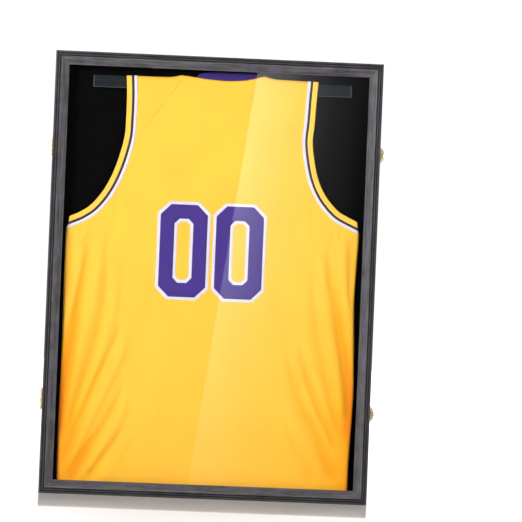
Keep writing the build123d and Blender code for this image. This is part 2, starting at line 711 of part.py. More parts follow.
def hanger_hook():
    """The hook behind the bar: a plate, a bend over the bracket's lip and a tongue."""
    plate_front = FELT_FRONT - BRACKET_THICKNESS
    tongue_back = plate_front - (BRACKET_GAP - HOOK_THICKNESS) / 2
    half = HOOK_WIDTH / 2
    over = (lip_top(), lip_top() + HOOK_THICKNESS)
    foot = BAR_TOP - BAR_HEIGHT + HOOK_FOOT
    x = (-half, half)
    hook = block(x, (BAR_BACK, BAR_BACK + HOOK_THICKNESS), (foot, over[1]))
    hook += block(x, (BAR_BACK, tongue_back), over)
    tongue = (tongue_back - HOOK_THICKNESS, tongue_back)
    hook += block(x, tongue, (lip_top() - HOOK_ENGAGEMENT, over[1]))
    return Pos(HANGER_X, 0, 0) * hook


def hanger_rivets():
    """Two flush rivets, countersunk into the bar, through the bar and the hook's plate."""
    z = BAR_TOP - BAR_HEIGHT + RIVET_BELOW
    head = Pos(0, 0, RIVET_HEAD_DEPTH / 2) * Cone(RIVET_HEAD_RADIUS, RIVET_RADIUS, RIVET_HEAD_DEPTH)
    rivet = head + rod(RIVET_RADIUS, 0, BAR_THICKNESS + HOOK_THICKNESS)
    places = [(HANGER_X + side * RIVET_SPREAD, BAR_FRONT, z) for side in (-1, 1)]
    return [at(place, (0, 1, 0)) * rivet for place in places]


def build_hanger():
    bar_half = SIDE - CASE_WALL - BAR_END_SPACE
    bar = block((-bar_half, bar_half), (BAR_FRONT, BAR_BACK), (BAR_TOP - BAR_HEIGHT, BAR_TOP))
    bar = fillet(bar.edges().filter_by(Axis.Y), BAR_CORNER)
    bar = Pos(HANGER_X, 0, 0) * bar
    hook = hanger_hook()
    rivets = hanger_rivets()
    for rivet in rivets:
        bar -= rivet
        hook -= rivet
    nodes["hanger_bar"] = solids(bar)
    nodes["hanger_hook"] = solids(hook)
    nodes["hanger_rivets"] = rivets
    nodes["hanger_bracket"] = solids(hanger_bracket())
    nodes["hanger_bracket_screws"] = [
        at(place, (0, -1, 0)) * screw(BRACKET_SCREW) for place in bracket_screw_places()
    ]


# ---------------------------------------------------------------- jersey


def jersey_outline(neck_depth):
    """Outline of one panel, drawn in X and Z: hem, sides, curved armholes, straps and neck."""
    side = SIDE - CASE_WALL - JERSEY_SIDE_SPACE
    hem = CASE_WALL + JERSEY_HEM_SPACE
    top = BAR_TOP + SHOULDER_RISE
    underarm = top - ARMHOLE_DEPTH
    turn = top - ARMHOLE_STRAIGHT
    edges = [Line((-side, hem), (side, hem))]
    for hand in (-1, 1):
        strap = HANGER_X + hand * STRAP_OUTER
        neck = HANGER_X + hand * NECK_HALF_WIDTH
        outward = hand * side - strap
        bend = (strap + outward * 0.3, underarm + (turn - underarm) * 0.32)
        armhole = Spline(
            (strap, turn), bend, (hand * side, underarm), tangents=[(0, -1), (hand, -0.35)]
        )
        edges.append(Line((hand * side, hem), (hand * side, underarm)))
        edges.append(armhole)
        edges.append(Line((strap, turn), (strap, top)))
        edges.append(Line((strap, top), (neck, top)))
    low = (HANGER_X, top - neck_depth)
    edges.append(ThreePointArc((HANGER_X - NECK_HALF_WIDTH, top), low, (HANGER_X + NECK_HALF_WIDTH, top)))
    return edges


def build_jersey():
    front_of_bar = BAR_FRONT - CLOTH_CLEARANCE
    behind_bar = BAR_BACK + CLOTH_CLEARANCE
    top = BAR_TOP + SHOULDER_RISE
    back_panel = flat_shape(jersey_outline(BACK_NECK_DEPTH), front_of_bar - CLOTH_THICKNESS, front_of_bar)
    front_panel = flat_shape(jersey_outline(FRONT_NECK_DEPTH), behind_bar, behind_bar + CLOTH_THICKNESS)
    for hand in (-1, 1):
        strap = HANGER_X + hand * STRAP_OUTER
        neck = HANGER_X + hand * NECK_HALF_WIDTH
        roof = (BAR_TOP + CLOTH_CLEARANCE, top)
        front_panel += block((min(strap, neck), max(strap, neck)), (front_of_bar, behind_bar), roof)
    nodes["jersey_back_panel"] = solids(back_panel)
    nodes["jersey_front_panel"] = solids(front_panel)
    collar = (BAR_TOP + CLOTH_CLEARANCE, BAR_TOP + COLLAR_RISE)
    nodes["jersey_collar"] = solids(
        Pos(HANGER_X, 0, 0)
        * block(
            (-COLLAR_HALF_WIDTH, COLLAR_HALF_WIDTH), (front_of_bar, front_of_bar + CLOTH_THICKNESS), collar
        )
    )


# ---------------------------------------------------------------- output

build_case()
build_door()
build_hinges()
build_latches()
build_hanger()
build_jersey()

os.makedirs("parts", exist_ok=True)
for node, pieces in nodes.items():
    shapes = [solid for piece in pieces for solid in piece.solids()]
    export_step(shapes[0] if len(shapes) == 1 else Compound(shapes), f"parts/{node}.step")
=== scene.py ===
import json
import math

import bpy
import numpy as np
from mathutils import Matrix, Vector


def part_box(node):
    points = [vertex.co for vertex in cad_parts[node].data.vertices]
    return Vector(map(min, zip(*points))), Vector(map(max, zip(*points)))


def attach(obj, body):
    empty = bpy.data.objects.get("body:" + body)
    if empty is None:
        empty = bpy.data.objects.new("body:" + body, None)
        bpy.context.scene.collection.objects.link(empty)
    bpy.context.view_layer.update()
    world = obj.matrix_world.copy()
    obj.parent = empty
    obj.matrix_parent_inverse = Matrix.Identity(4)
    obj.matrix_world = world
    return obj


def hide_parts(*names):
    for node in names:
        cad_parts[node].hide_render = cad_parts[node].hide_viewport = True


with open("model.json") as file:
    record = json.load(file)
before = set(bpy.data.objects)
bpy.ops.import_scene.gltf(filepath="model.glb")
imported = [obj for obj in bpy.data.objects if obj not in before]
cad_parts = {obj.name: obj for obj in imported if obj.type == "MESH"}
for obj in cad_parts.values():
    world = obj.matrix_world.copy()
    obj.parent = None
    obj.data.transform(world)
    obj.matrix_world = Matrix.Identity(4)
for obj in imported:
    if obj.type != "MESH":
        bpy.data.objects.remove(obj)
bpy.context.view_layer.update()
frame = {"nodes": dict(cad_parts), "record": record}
nodes = frame["nodes"]

MM = 0.001

# ---------------------------------------------------------------- places taken from the frame

CASE_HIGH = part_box("case_top_rail")[1]
BAR_LOW, BAR_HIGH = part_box("hanger_bar")
PANEL_LOW, PANEL_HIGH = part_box("jersey_back_panel")
REAR_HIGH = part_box("jersey_front_panel")[1]
COLLAR_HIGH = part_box("jersey_collar")[1]
PANE_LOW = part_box("acrylic_pane")[0]
MOULDING_LOW, MOULDING_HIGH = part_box("door_bottom_rail")
MIDDLE = Vector((0, 0, CASE_HIGH.z / 2))
MOULDING = MOULDING_HIGH.z - MOULDING_LOW.z

# The jersey's cloth hangs in front of and behind the bar; the two sides meet between them.
FRONT_LAYER = (PANEL_LOW.y + PANEL_HIGH.y) / 2
REAR_LAYER = REAR_HIGH.y - 0.8 * MM
JOIN_LAYER = (BAR_LOW.y + BAR_HIGH.y) / 2
HEM = PANEL_LOW.z

# ---------------------------------------------------------------- shader helpers


class Shader:
    """A material's node tree, built with short calls."""

    def __init__(self, name):
        self.material = bpy.data.materials.new(name)
        self.material.use_nodes = True
        self.tree = self.material.node_tree
        self.tree.nodes.clear()
        self.output = self.tree.nodes.new("ShaderNodeOutputMaterial")

    def feed(self, socket, value):
        if isinstance(value, bpy.types.NodeSocket):
            self.tree.links.new(value, socket)
        else:
            socket.default_value = value

    def add(self, kind, inputs=None, **settings):
        node = self.tree.nodes.new("ShaderNode" + kind)
        for key, value in settings.items():
            setattr(node, key, value)
        for key, value in (inputs or {}).items():
            self.feed(node.inputs[key], value)
        return node

    def place(self, scale=(1, 1, 1), turn=(0, 0, 0)):
        """Positions in the shared frame, in metres, scaled and turned."""
        coords = self.add("TexCoord").outputs["Object"]
        return self.add("Mapping", {"Vector": coords, "Scale": scale, "Rotation": turn}).outputs[0]

    def noise(self, vector, scale=1.0, detail=3.0, roughness=0.55, distortion=0.0):
        wants = {"Vector": vector, "Scale": scale, "Detail": detail}
        wants.update({"Roughness": roughness, "Distortion": distortion})
        return self.add("TexNoise", wants).outputs[0]

    def wave(self, vector, direction, scale=1.0, distortion=0.0):
        wants = {"Vector": vector, "Scale": scale, "Distortion": distortion}
        return self.add("TexWave", wants, bands_direction=direction).outputs[1]

    def sum(self, how, a, b=0.5, clamp=False):
        return self.add("Math", {0: a, 1: b}, operation=how, use_clamp=clamp).outputs[0]

    def spread(self, value, low, high, to_low=0.0, to_high=1.0):
        wants = {"Value": value, "From Min": low, "From Max": high, "To Min": to_low, "To Max": to_high}
        return self.add("MapRange", wants).outputs[0]

    def ramp(self, value, *stops):
        node = self.add("ValToRGB", {0: value})
        elements = node.color_ramp.elements
        while len(elements) < len(stops):
            elements.new(0.5)
        for element, (at, colour) in zip(elements, stops):
            element.position = at
            element.color = (*colour, 1)
        return node.outputs[0]

    def mix(self, amount, a, b, how="MIX"):
        node = self.add("Mix", data_type="RGBA", blend_type=how)
        for socket, value in ((0, amount), (6, a), (7, b)):
            if isinstance(value, tuple) and len(value) == 3:
                value = (*value, 1)
            self.feed(node.inputs[socket], value)
        return node.outputs[2]

    def shaded(self, colour, tone):
        """The colour, made darker or lighter by a number."""
        level = self.add("CombineColor", {0: tone, 1: tone, 2: tone}).outputs[0]
        return self.mix(1.0, colour, level, "MULTIPLY")

    def bump(self, height, distance, strength=1.0):
        wants = {"Height": height, "Distance": distance, "Strength": strength}
        return self.add("Bump", wants).outputs[0]

    def finish(self, **inputs):
        """A Principled surface; names are the sockets' names with underscores for spaces."""
        surface = self.add("BsdfPrincipled")
        for name, value in inputs.items():
            socket = surface.inputs[name.replace("_", " ")]
            if isinstance(value, tuple) and len(value) == 3 and socket.type == "RGBA":
                value = (*value, 1)
            self.feed(socket, value)
        self.tree.links.new(surface.outputs[0], self.output.inputs[0])
        return self.material


def grey(level):
    return (level, level, level)


# ---------------------------------------------------------------- materials


# How dark the moulding is across its width: share of its width inwards, and level.
# The stops give the stain's tone with a worn outer edge, painted shade in the two grooves and a painted
# highlight along the crest.
MOULDING_TONE_AND_SHADE = [
    (0.0, 0.5), (0.05, 0.66), (0.12, 0.46), (0.165, 0.34), (0.18, 0.06), (0.21, 0.06),
    (0.225, 0.5), (0.29, 0.55), (0.335, 0.36), (0.345, 0.05), (0.375, 0.06), (0.4, 1.25),
    (0.46, 1.3), (0.55, 1.0), (0.9, 0.86), (1.0, 1.1),
]  # fmt: skip


def stained_wood(name, along, dark, light, moulded=False):
    """Black-stained, brushed wood with its grain along one axis.

    moulded=True also follows the door's profile across the rail: dark reeds, grooves painted nearly black as
    painted shade, and a broad, lighter charcoal inner band whose outer edge, the crest, carries a painted
    highlight.
    """
    s = Shader(name)
    index = "XYZ".index(along)
    broad, middling, fine = [300.0] * 3, [620.0] * 3, [1500.0] * 3
    broad[index], middling[index], fine[index] = 9.0, 24.0, 60.0
    streaks = s.noise(s.place(tuple(broad)), detail=4, roughness=0.65, distortion=0.4)
    brushed = s.noise(s.place(tuple(middling)), detail=4, roughness=0.65)
    pores = s.noise(s.place(tuple(fine)), detail=2, roughness=0.6)
    patches = s.noise(s.place((34, 34, 34)), detail=4, roughness=0.6)
    grain = s.sum("ADD", s.sum("MULTIPLY", streaks, 0.4), s.sum("MULTIPLY", brushed, 0.36))
    grain = s.sum("ADD", grain, s.sum("MULTIPLY", pores, 0.24))
    middle = tuple((a + b) / 2 for a, b in zip(dark, light))
    colour = s.ramp(grain, (0.4, dark), (0.5, middle), (0.61, light))
    blotches = s.noise(s.place((55, 55, 55)), detail=3)
    cast = s.ramp(blotches, (0.42, (1.04, 0.96, 1.1)), (0.58, (0.97, 1.03, 0.9)))
    colour = s.mix(1.0, colour, cast, "MULTIPLY")
    tone = s.spread(patches, 0.3, 0.7, 0.72, 1.26)
    colour = s.shaded(colour, tone)
    if moulded:
        spot = s.add("SeparateXYZ", {0: s.place()})
        if along == "Z":
            inward = s.sum("SUBTRACT", CASE_HIGH.x, s.sum("ABSOLUTE", spot.outputs[0]))
        else:
            from_middle = s.sum("ABSOLUTE", s.sum("SUBTRACT", spot.outputs[2], MIDDLE.z))
            inward = s.sum("SUBTRACT", MIDDLE.z, from_middle)
        inward = s.sum("DIVIDE", inward, MOULDING)
        # These stops paint shade into the grooves and a highlight along the crest.
        profile = s.ramp(inward, *((at, grey(level)) for at, level in MOULDING_TONE_AND_SHADE))
        colour = s.mix(1.0, colour, profile, "MULTIPLY")
    rough = s.spread(grain, 0.4, 0.6, 0.62, 0.46)
    relief = s.bump(grain, 0.5 * MM, 0.6)
    return s.finish(Base_Color=colour, Roughness=rough, Normal=relief, Specular_IOR_Level=0.28)


def fibreboard():
    s = Shader("fibreboard")
    fibres = s.noise(s.place((420, 420, 420)), detail=6, roughness=0.7)
    flecks = s.noise(s.place((60, 60, 60)), detail=3)
    colour = s.ramp(
        fibres, (0.3, (0.045, 0.033, 0.026)), (0.55, (0.095, 0.072, 0.055)), (0.75, (0.15, 0.118, 0.09))
    )
    colour = s.mix(s.spread(flecks, 0.35, 0.65, 0.0, 0.35), colour, (0.05, 0.038, 0.03))
    rough = s.spread(fibres, 0.3, 0.7, 0.85, 0.62)
    return s.finish(Base_Color=colour, Roughness=rough, Normal=s.bump(fibres, 0.25 * MM, 0.6))


def felt():
    s = Shader("black_felt")
    fuzz = s.noise(s.place((1600, 1600, 1600)), detail=5, roughness=0.75)
    mat = s.noise(s.place((140, 140, 140)), detail=4)
    colour = s.ramp(fuzz, (0.3, (0.0006, 0.0006, 0.0007)), (0.7, (0.0022, 0.0022, 0.0025)))
    height = s.sum("ADD", fuzz, s.sum("MULTIPLY", mat, 0.6))
    rough = s.spread(mat, 0.3, 0.7, 0.92, 1.0)
    relief = s.bump(height, 0.4 * MM, 0.6)
    return s.finish(Base_Color=colour, Roughness=rough, Normal=relief, Specular_IOR_Level=0.05)


ACRYLIC_IOR = 1.49


def clear_acrylic():
    """A clear pane: light passes straight through, and both faces mirror by their angle."""
    s = Shader("clear_acrylic")
    smears = s.noise(s.place((9, 9, 9)), detail=4, roughness=0.6)
    through = s.add("BsdfTransparent", {"Color": (0.985, 0.99, 0.992, 1)})
    polish = s.spread(smears, 0.35, 0.7, 0.004, 0.03)
    shine = s.add("BsdfGlossy", {"Color": (1, 1, 1, 1), "Roughness": polish})
    # Both faces are met from air here, since the light isn't bent inside the thin sheet.
    inner = s.add("NewGeometry").outputs["Backfacing"]
    angle = s.add("Fresnel", {"IOR": s.spread(inner, 0.0, 1.0, ACRYLIC_IOR, 1 / ACRYLIC_IOR)})
    both = s.add("MixShader", {0: angle.outputs[0], 1: through.outputs[0], 2: shine.outputs[0]})
    s.tree.links.new(both.outputs[0], s.output.inputs[0])
    return s.material


def metal(name, colour, rough_low, rough_high, tarnish, metallic=1.0, scratch=0.06 * MM):
    """Polished or plated metal with fine scratches and a darker film in patches."""
    s = Shader(name)
    scratches = s.noise(s.place((2600, 260, 260), (0.3, 0.5, 0.9)), detail=3, roughness=0.6)
    film = s.noise(s.place((210, 210, 210)), detail=5, roughness=0.6)
    base = s.mix(s.spread(film, 0.46, 0.74, 0.0, 0.6), colour, tarnish)
    rough = s.spread(film, 0.3, 0.7, rough_low, rough_high)
    relief = s.bump(scratches, scratch, 0.3)
    return s.finish(Base_Color=base, Metallic=metallic, Roughness=rough, Normal=relief)


def slate_paint():
    """Dark slate enamel with a faint orange peel and scuffs, and a painted highlight along the bar's ends and
    lower edge.
    """
    s = Shader("slate_paint")
    peel = s.noise(s.place((700, 700, 700)), detail=2)
    scuff = s.noise(s.place((12, 90, 90)), detail=6, roughness=0.7)
    colour = s.ramp(
        scuff, (0.35, (0.0055, 0.0075, 0.01)), (0.62, (0.009, 0.012, 0.0155)), (0.75, (0.015, 0.018, 0.022))
    )
    spot = s.add("SeparateXYZ", {0: s.place()})
    middle, half = (BAR_LOW.x + BAR_HIGH.x) / 2, (BAR_HIGH.x - BAR_LOW.x) / 2
    from_middle = s.sum("ABSOLUTE", s.sum("SUBTRACT", spot.outputs[0], middle))
    # Painted highlight: paler along the bar's ends and lower edge, broken up by the scuffs.
    end = s.spread(from_middle, half - 2.2 * MM, half - 0.8 * MM)
    foot = s.spread(spot.outputs[2], BAR_LOW.z + 1.6 * MM, BAR_LOW.z + 0.6 * MM, 0.0, 0.6)
    edge_highlight = s.sum("MULTIPLY", s.sum("MAXIMUM", end, foot), s.spread(scuff, 0.35, 0.6, 0.35, 1.0))
    colour = s.mix(edge_highlight, colour, (0.085, 0.09, 0.09))
    rough = s.spread(scuff, 0.3, 0.7, 0.5, 0.36)
    relief = s.bump(peel, 0.08 * MM, 0.6)
    return s.finish(Base_Color=colour, Roughness=rough, Normal=relief, Specular_IOR_Level=0.25)


def knit(name, dark, light, pitch=1.3 * MM, sheen=0.25, deep=None):
    """A fine weft knit: upright columns of V-shaped stitches with a small hollow between rows.

    deep is the colour multiplied in as painted shade: in the fold valleys, along the side edges and towards
    the hem.
    """
    s = Shader(name)
    bands = math.tau / 20 / pitch
    spot = s.add("SeparateXYZ", {0: s.place()})
    # Each stitch leg leans towards the middle of its column.
    lean = s.sum("PINGPONG", spot.outputs[0], pitch / 2)
    upward = s.sum("ADD", spot.outputs[2], lean)
    leant = s.add("CombineXYZ", {0: spot.outputs[0], 1: 0.0, 2: upward}).outputs[0]
    columns = s.wave(leant, "X", bands)
    rows = s.wave(leant, "Z", bands * 1.25)
    stitches = s.sum("MULTIPLY", s.sum("POWER", columns, 0.6), s.sum("POWER", rows, 0.6))
    shade = s.noise(s.place((14, 14, 14)), detail=3, roughness=0.5)
    slub = s.noise(s.place((700, 700, 260)), detail=2)
    level = s.sum("ADD", s.sum("MULTIPLY", stitches, 0.72), s.sum("MULTIPLY", slub, 0.28))
    colour = s.ramp(level, (0.1, dark), (0.55, light))
    tone = s.spread(shade, 0.3, 0.7, 0.965, 1.025)
    colour = s.shaded(colour, tone)
    if deep:
        # Painted shade: deep is multiplied in, and the blue is taken down further, by the painted fold shade
        # stored on the cloth's points.
        fold_shade = s.add("Attribute", attribute_name="painted_fold_shade").outputs["Fac"]
        colour = s.mix(fold_shade, colour, deep, "MULTIPLY")
        colour = s.mix(s.sum("MULTIPLY", fold_shade, 2.4, clamp=True), colour, (1, 1, 0.3), "MULTIPLY")
    return s.finish(
        Base_Color=colour,
        Roughness=s.spread(level, 0.1, 0.8, 0.82, 0.66),
        Normal=s.bump(level, 0.2 * MM, 0.45),
        Specular_IOR_Level=0.25,
        Sheen_Weight=sheen,
        Sheen_Roughness=0.45,
    )


def twill(name, dark, light, pitch=0.9 * MM, turn=0.7):
    """A tightly woven twill: fine diagonal ribs."""
    s = Shader(name)
    diagonal = s.wave(s.place((1, 0, 1), (0, turn, 0)), "X", math.tau / 20 / pitch)
    threads = s.noise(s.place((1500, 1500, 400)), detail=2)
    patches = s.noise(s.place((30, 30, 30)), detail=3)
    level = s.sum("ADD", s.sum("MULTIPLY", diagonal, 0.6), s.sum("MULTIPLY", threads, 0.4))
    colour = s.ramp(level, (0.1, dark), (0.75, light))
    tone = s.spread(patches, 0.3, 0.7, 0.95, 1.04)
    colour = s.shaded(colour, tone)
    return s.finish(
        Base_Color=colour,
        Roughness=s.spread(level, 0.1, 0.9, 0.75, 0.55),
        Normal=s.bump(level, 0.12 * MM, 0.6),
        Specular_IOR_Level=0.3,
        Sheen_Weight=0.15,
    )


def studio_white():
    """The pale floor: matt white with a faint polish, running out into the white room."""
    s = Shader("studio_floor")
    reach = s.add("VectorMath", {0: s.place()}, operation="LENGTH").outputs["Value"]
    far = s.spread(reach, 1.4, 4.5, 0.0, 0.7)
    # The polish is only near the object, so that little but the moulding is mirrored.
    ahead = s.sum("MULTIPLY", s.add("SeparateXYZ", {0: s.place()}).outputs[1], -1.0)
    marks = s.noise(s.place((3, 3, 3)), detail=5, roughness=0.6)
    colour = s.ramp(marks, (0.3, grey(0.86)), (0.7, grey(0.9)))
    return s.finish(
        Base_Color=colour,
        Roughness=s.spread(marks, 0.3, 0.7, 0.05, 0.08),
        Specular_IOR_Level=s.spread(ahead, 0.02, 0.4, 0.36, 0.0),
        Emission_Color=(1.0, 1.0, 1.0),
        Emission_Strength=far,
    )


# Each pair is a darkest and a lightest colour. The stiles take the rails' stain a little darker, as painted
# shade.
RAIL_STAIN = (0.026, 0.024, 0.028), (0.088, 0.083, 0.09)
STILE_STAIN_SHADED = (0.023, 0.021, 0.025), (0.074, 0.07, 0.076)
CASE_STAIN = (0.006, 0.006, 0.0065), (0.034, 0.032, 0.034)
YELLOW = (0.67, 0.335, 0.02), (0.92, 0.52, 0.054)
MATERIALS = {
    "moulding_x": stained_wood("moulding_wood_x", "X", *RAIL_STAIN, moulded=True),
    "moulding_z": stained_wood("moulding_wood_z", "Z", *STILE_STAIN_SHADED, moulded=True),
    "case_x": stained_wood("case_wood_x", "X", *CASE_STAIN),
    "case_z": stained_wood("case_wood_z", "Z", *CASE_STAIN),
    "fibreboard": fibreboard(),
    "felt": felt(),
    "pane": clear_acrylic(),
    "brass": metal("pale_brass", (0.92, 0.77, 0.48), 0.22, 0.36, (0.66, 0.48, 0.22), metallic=0.78),
    "steel": metal("zinc_plate", (0.66, 0.66, 0.68), 0.25, 0.42, (0.42, 0.42, 0.44)),
    "slate": slate_paint(),
    # The yellow knit takes painted orange shade in its folds, along its side edges and towards the hem.
    "yellow_knit": knit("yellow_knit", *YELLOW, sheen=0.1, deep=(1.0, 0.5, 0.0)),
    "purple_knit": knit("purple_rib", (0.014, 0.005, 0.07), (0.042, 0.016, 0.18), 1.8 * MM),
    "band_rib": knit("yellow_rib", (0.66, 0.36, 0.03), (1.0, 0.58, 0.075), 1.1 * MM),
    # The yoke lines are a little darker than the cloth, as painted shade along thin creases.
    "crease_shade_strip": knit("crease_shade_strip", (0.58, 0.36, 0.03), (0.82, 0.5, 0.05), 0.8 * MM),
    "dark_tape": twill("dark_tape", (0.01, 0.004, 0.022), (0.032, 0.014, 0.05)),
    "white_tape": twill("white_tape", (0.48, 0.46, 0.5), (0.68, 0.66, 0.7)),
    "purple_twill": twill("purple_twill", (0.022, 0.008, 0.12), (0.052, 0.021, 0.235)),
    "white_twill": twill("white_twill", (0.48, 0.46, 0.51), (0.68, 0.66, 0.71)),
    "floor": studio_white(),
}


def dress_frame():
    """Gives every CAD node that stays visible its own procedural finish."""
    finishes = {
        "moulding_x": ["door_top_rail", "door_bottom_rail"],
        "moulding_z": ["door_left_stile", "door_right_stile"],
        "case_x": ["case_top_rail", "case_bottom_rail", "glazing_bead_top", "glazing_bead_bottom"],
        "case_z": ["case_left_stile", "case_right_stile", "glazing_bead_left", "glazing_bead_right"],
        "fibreboard": ["backboard"],
        "felt": ["felt_lining"],
        "pane": ["acrylic_pane"],
        "slate": ["hanger_bar", "hanger_hook", "hanger_bracket"],
    }
    chosen = {node: key for key, names in finishes.items() for node in names}
    for subpart in frame["record"]["subparts"]:
        node, slot = subpart["node"], subpart["material_slot"]
        key = chosen.get(node, slot if slot in ("brass", "steel") else None)
        if key is None:
            continue
        mesh = nodes[node].data
        if not mesh.materials:
            mesh.materials.append(MATERIALS[key])
        for k in range(len(mesh.materials)):
            mesh.materials[k] = MATERIALS[key]


# ---------------------------------------------------------------- mesh helpers


def make_piece(name, points, faces, material, body="hanger", smooth=True):
    mesh = bpy.data.meshes.new(name)
    mesh.from_pydata([tuple(p) for p in points], [], faces)
    mesh.polygons.foreach_set("use_smooth", [smooth] * len(mesh.polygons))
    mesh.materials.append(material)
    mesh.update()
    piece = bpy.data.objects.new(name, mesh)
    bpy.context.scene.collection.objects.link(piece)
    if body:
        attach(piece, body)
    return piece


def make_joined(name, parts, material, body="hanger", smooth=True):
    """One piece from several lists of points and faces."""
    points, faces = [], []
    for more, more_faces in parts:
        start = sum(len(p) for p in points)
        points.append(np.asarray(more).reshape(-1, 3))
        faces += [tuple(n + start for n in face) for face in more_faces]
    return make_piece(name, np.vstack(points), faces, material, body, smooth)


def grid_faces(rows, columns, start=0, closed=False):
    """Quads of a grid of points laid out row by row."""
    faces = []
    for i in range(rows - 1):
        for j in range(columns if closed else columns - 1):
            k = (j + 1) % columns
            a, b = start + i * columns + j, start + i * columns + k
            faces.append((a, b, b + columns, a + columns))
    return faces


def thicken(piece, thickness, offset=0.0):
    """Turns an open sheet into a closed one of that thickness."""
    solid = piece.modifiers.new("thickness", "SOLIDIFY")
    solid.thickness = thickness
    solid.offset = offset
    solid.use_even_offset = False
    apply_modifiers(piece)


def apply_modifiers(piece):
    bpy.context.view_layer.update()
    evaluated = piece.evaluated_get(bpy.context.evaluated_depsgraph_get())
    mesh = bpy.data.meshes.new_from_object(evaluated)
    piece.modifiers.clear()
    piece.data = mesh


def smooth_step(value):
    t = np.clip(value, 0, 1)
    return t * t * (3 - 2 * t)


def smooth_curve(points, pitch):
    """A Catmull-Rom curve through given points, resampled at an even pitch."""
    p = np.array(points, float)
    p = np.vstack([2 * p[0] - p[1], p, 2 * p[-1] - p[-2]])
    fine = []
    for k in range(1, len(p) - 2):
        t = np.linspace(0, 1, 24, endpoint=False)[:, None]
        a, b, c, d = p[k - 1 : k + 3]
        square, cube = 2 * a - 5 * b + 4 * c - d, 3 * b - a - 3 * c + d
        fine.append(0.5 * (2 * b + (c - a) * t + square * t**2 + cube * t**3))
    fine = np.vstack(fine + [p[-2][None]])
    run = np.concatenate([[0], np.cumsum(np.linalg.norm(np.diff(fine, axis=0), axis=1))])
    steps = np.linspace(0, run[-1], max(2, int(round(run[-1] / pitch)) + 1))
    return np.stack([np.interp(steps, run, fine[:, k]) for k in range(p.shape[1])], 1)


# ---------------------------------------------------------------- the jersey's shape
#
# Outlines are drawn in millimetres in X and Z, looking at the jersey's back.

ARMHOLES = {
    -1: [
        (-169, 768), (-167, 732), (-167, 690), (-169, 653), (-182, 603),
        (-200, 562), (-222, 532), (-243, 516), (-264, 506),
    ],
    1: [
        (182, 771), (180, 738), (178, 694), (176, 655), (186, 601),
        (202, 565), (225, 538), (244, 526), (264, 517),
    ],
}  # fmt: skip
SIDES = {
    -1: [(-264, 506), (-266, 492), (-269, 478), (-269, 380), (-268, 250), (-269, 120), (-268, 18)],
    1: [
        (264, 517), (267, 500), (268.5, 489), (266, 430), (264.5, 370),
        (268, 270), (269.5, 189), (266, 77), (266, 18),
    ],
}  # fmt: skip
TOP_EDGE = [
    (-169, 768.3), (-125, 768.2), (-88, 769), (-66, 773.5), (-48, 772), (-22, 769), (14, 767.2),
    (46, 769.3), (68, 774), (81, 777.3), (103, 773), (140, 772), (182, 771.3),
]  # fmt: skip
ARMHOLE_CURVES = {hand: smooth_curve(points, 2.0) for hand, points in ARMHOLES.items()}
SIDE_CURVES = {hand: smooth_curve(points, 4.0) for hand, points in SIDES.items()}
TOP_CURVE = smooth_curve(TOP_EDGE, 2.0)
TOP_LEVEL = 768.3

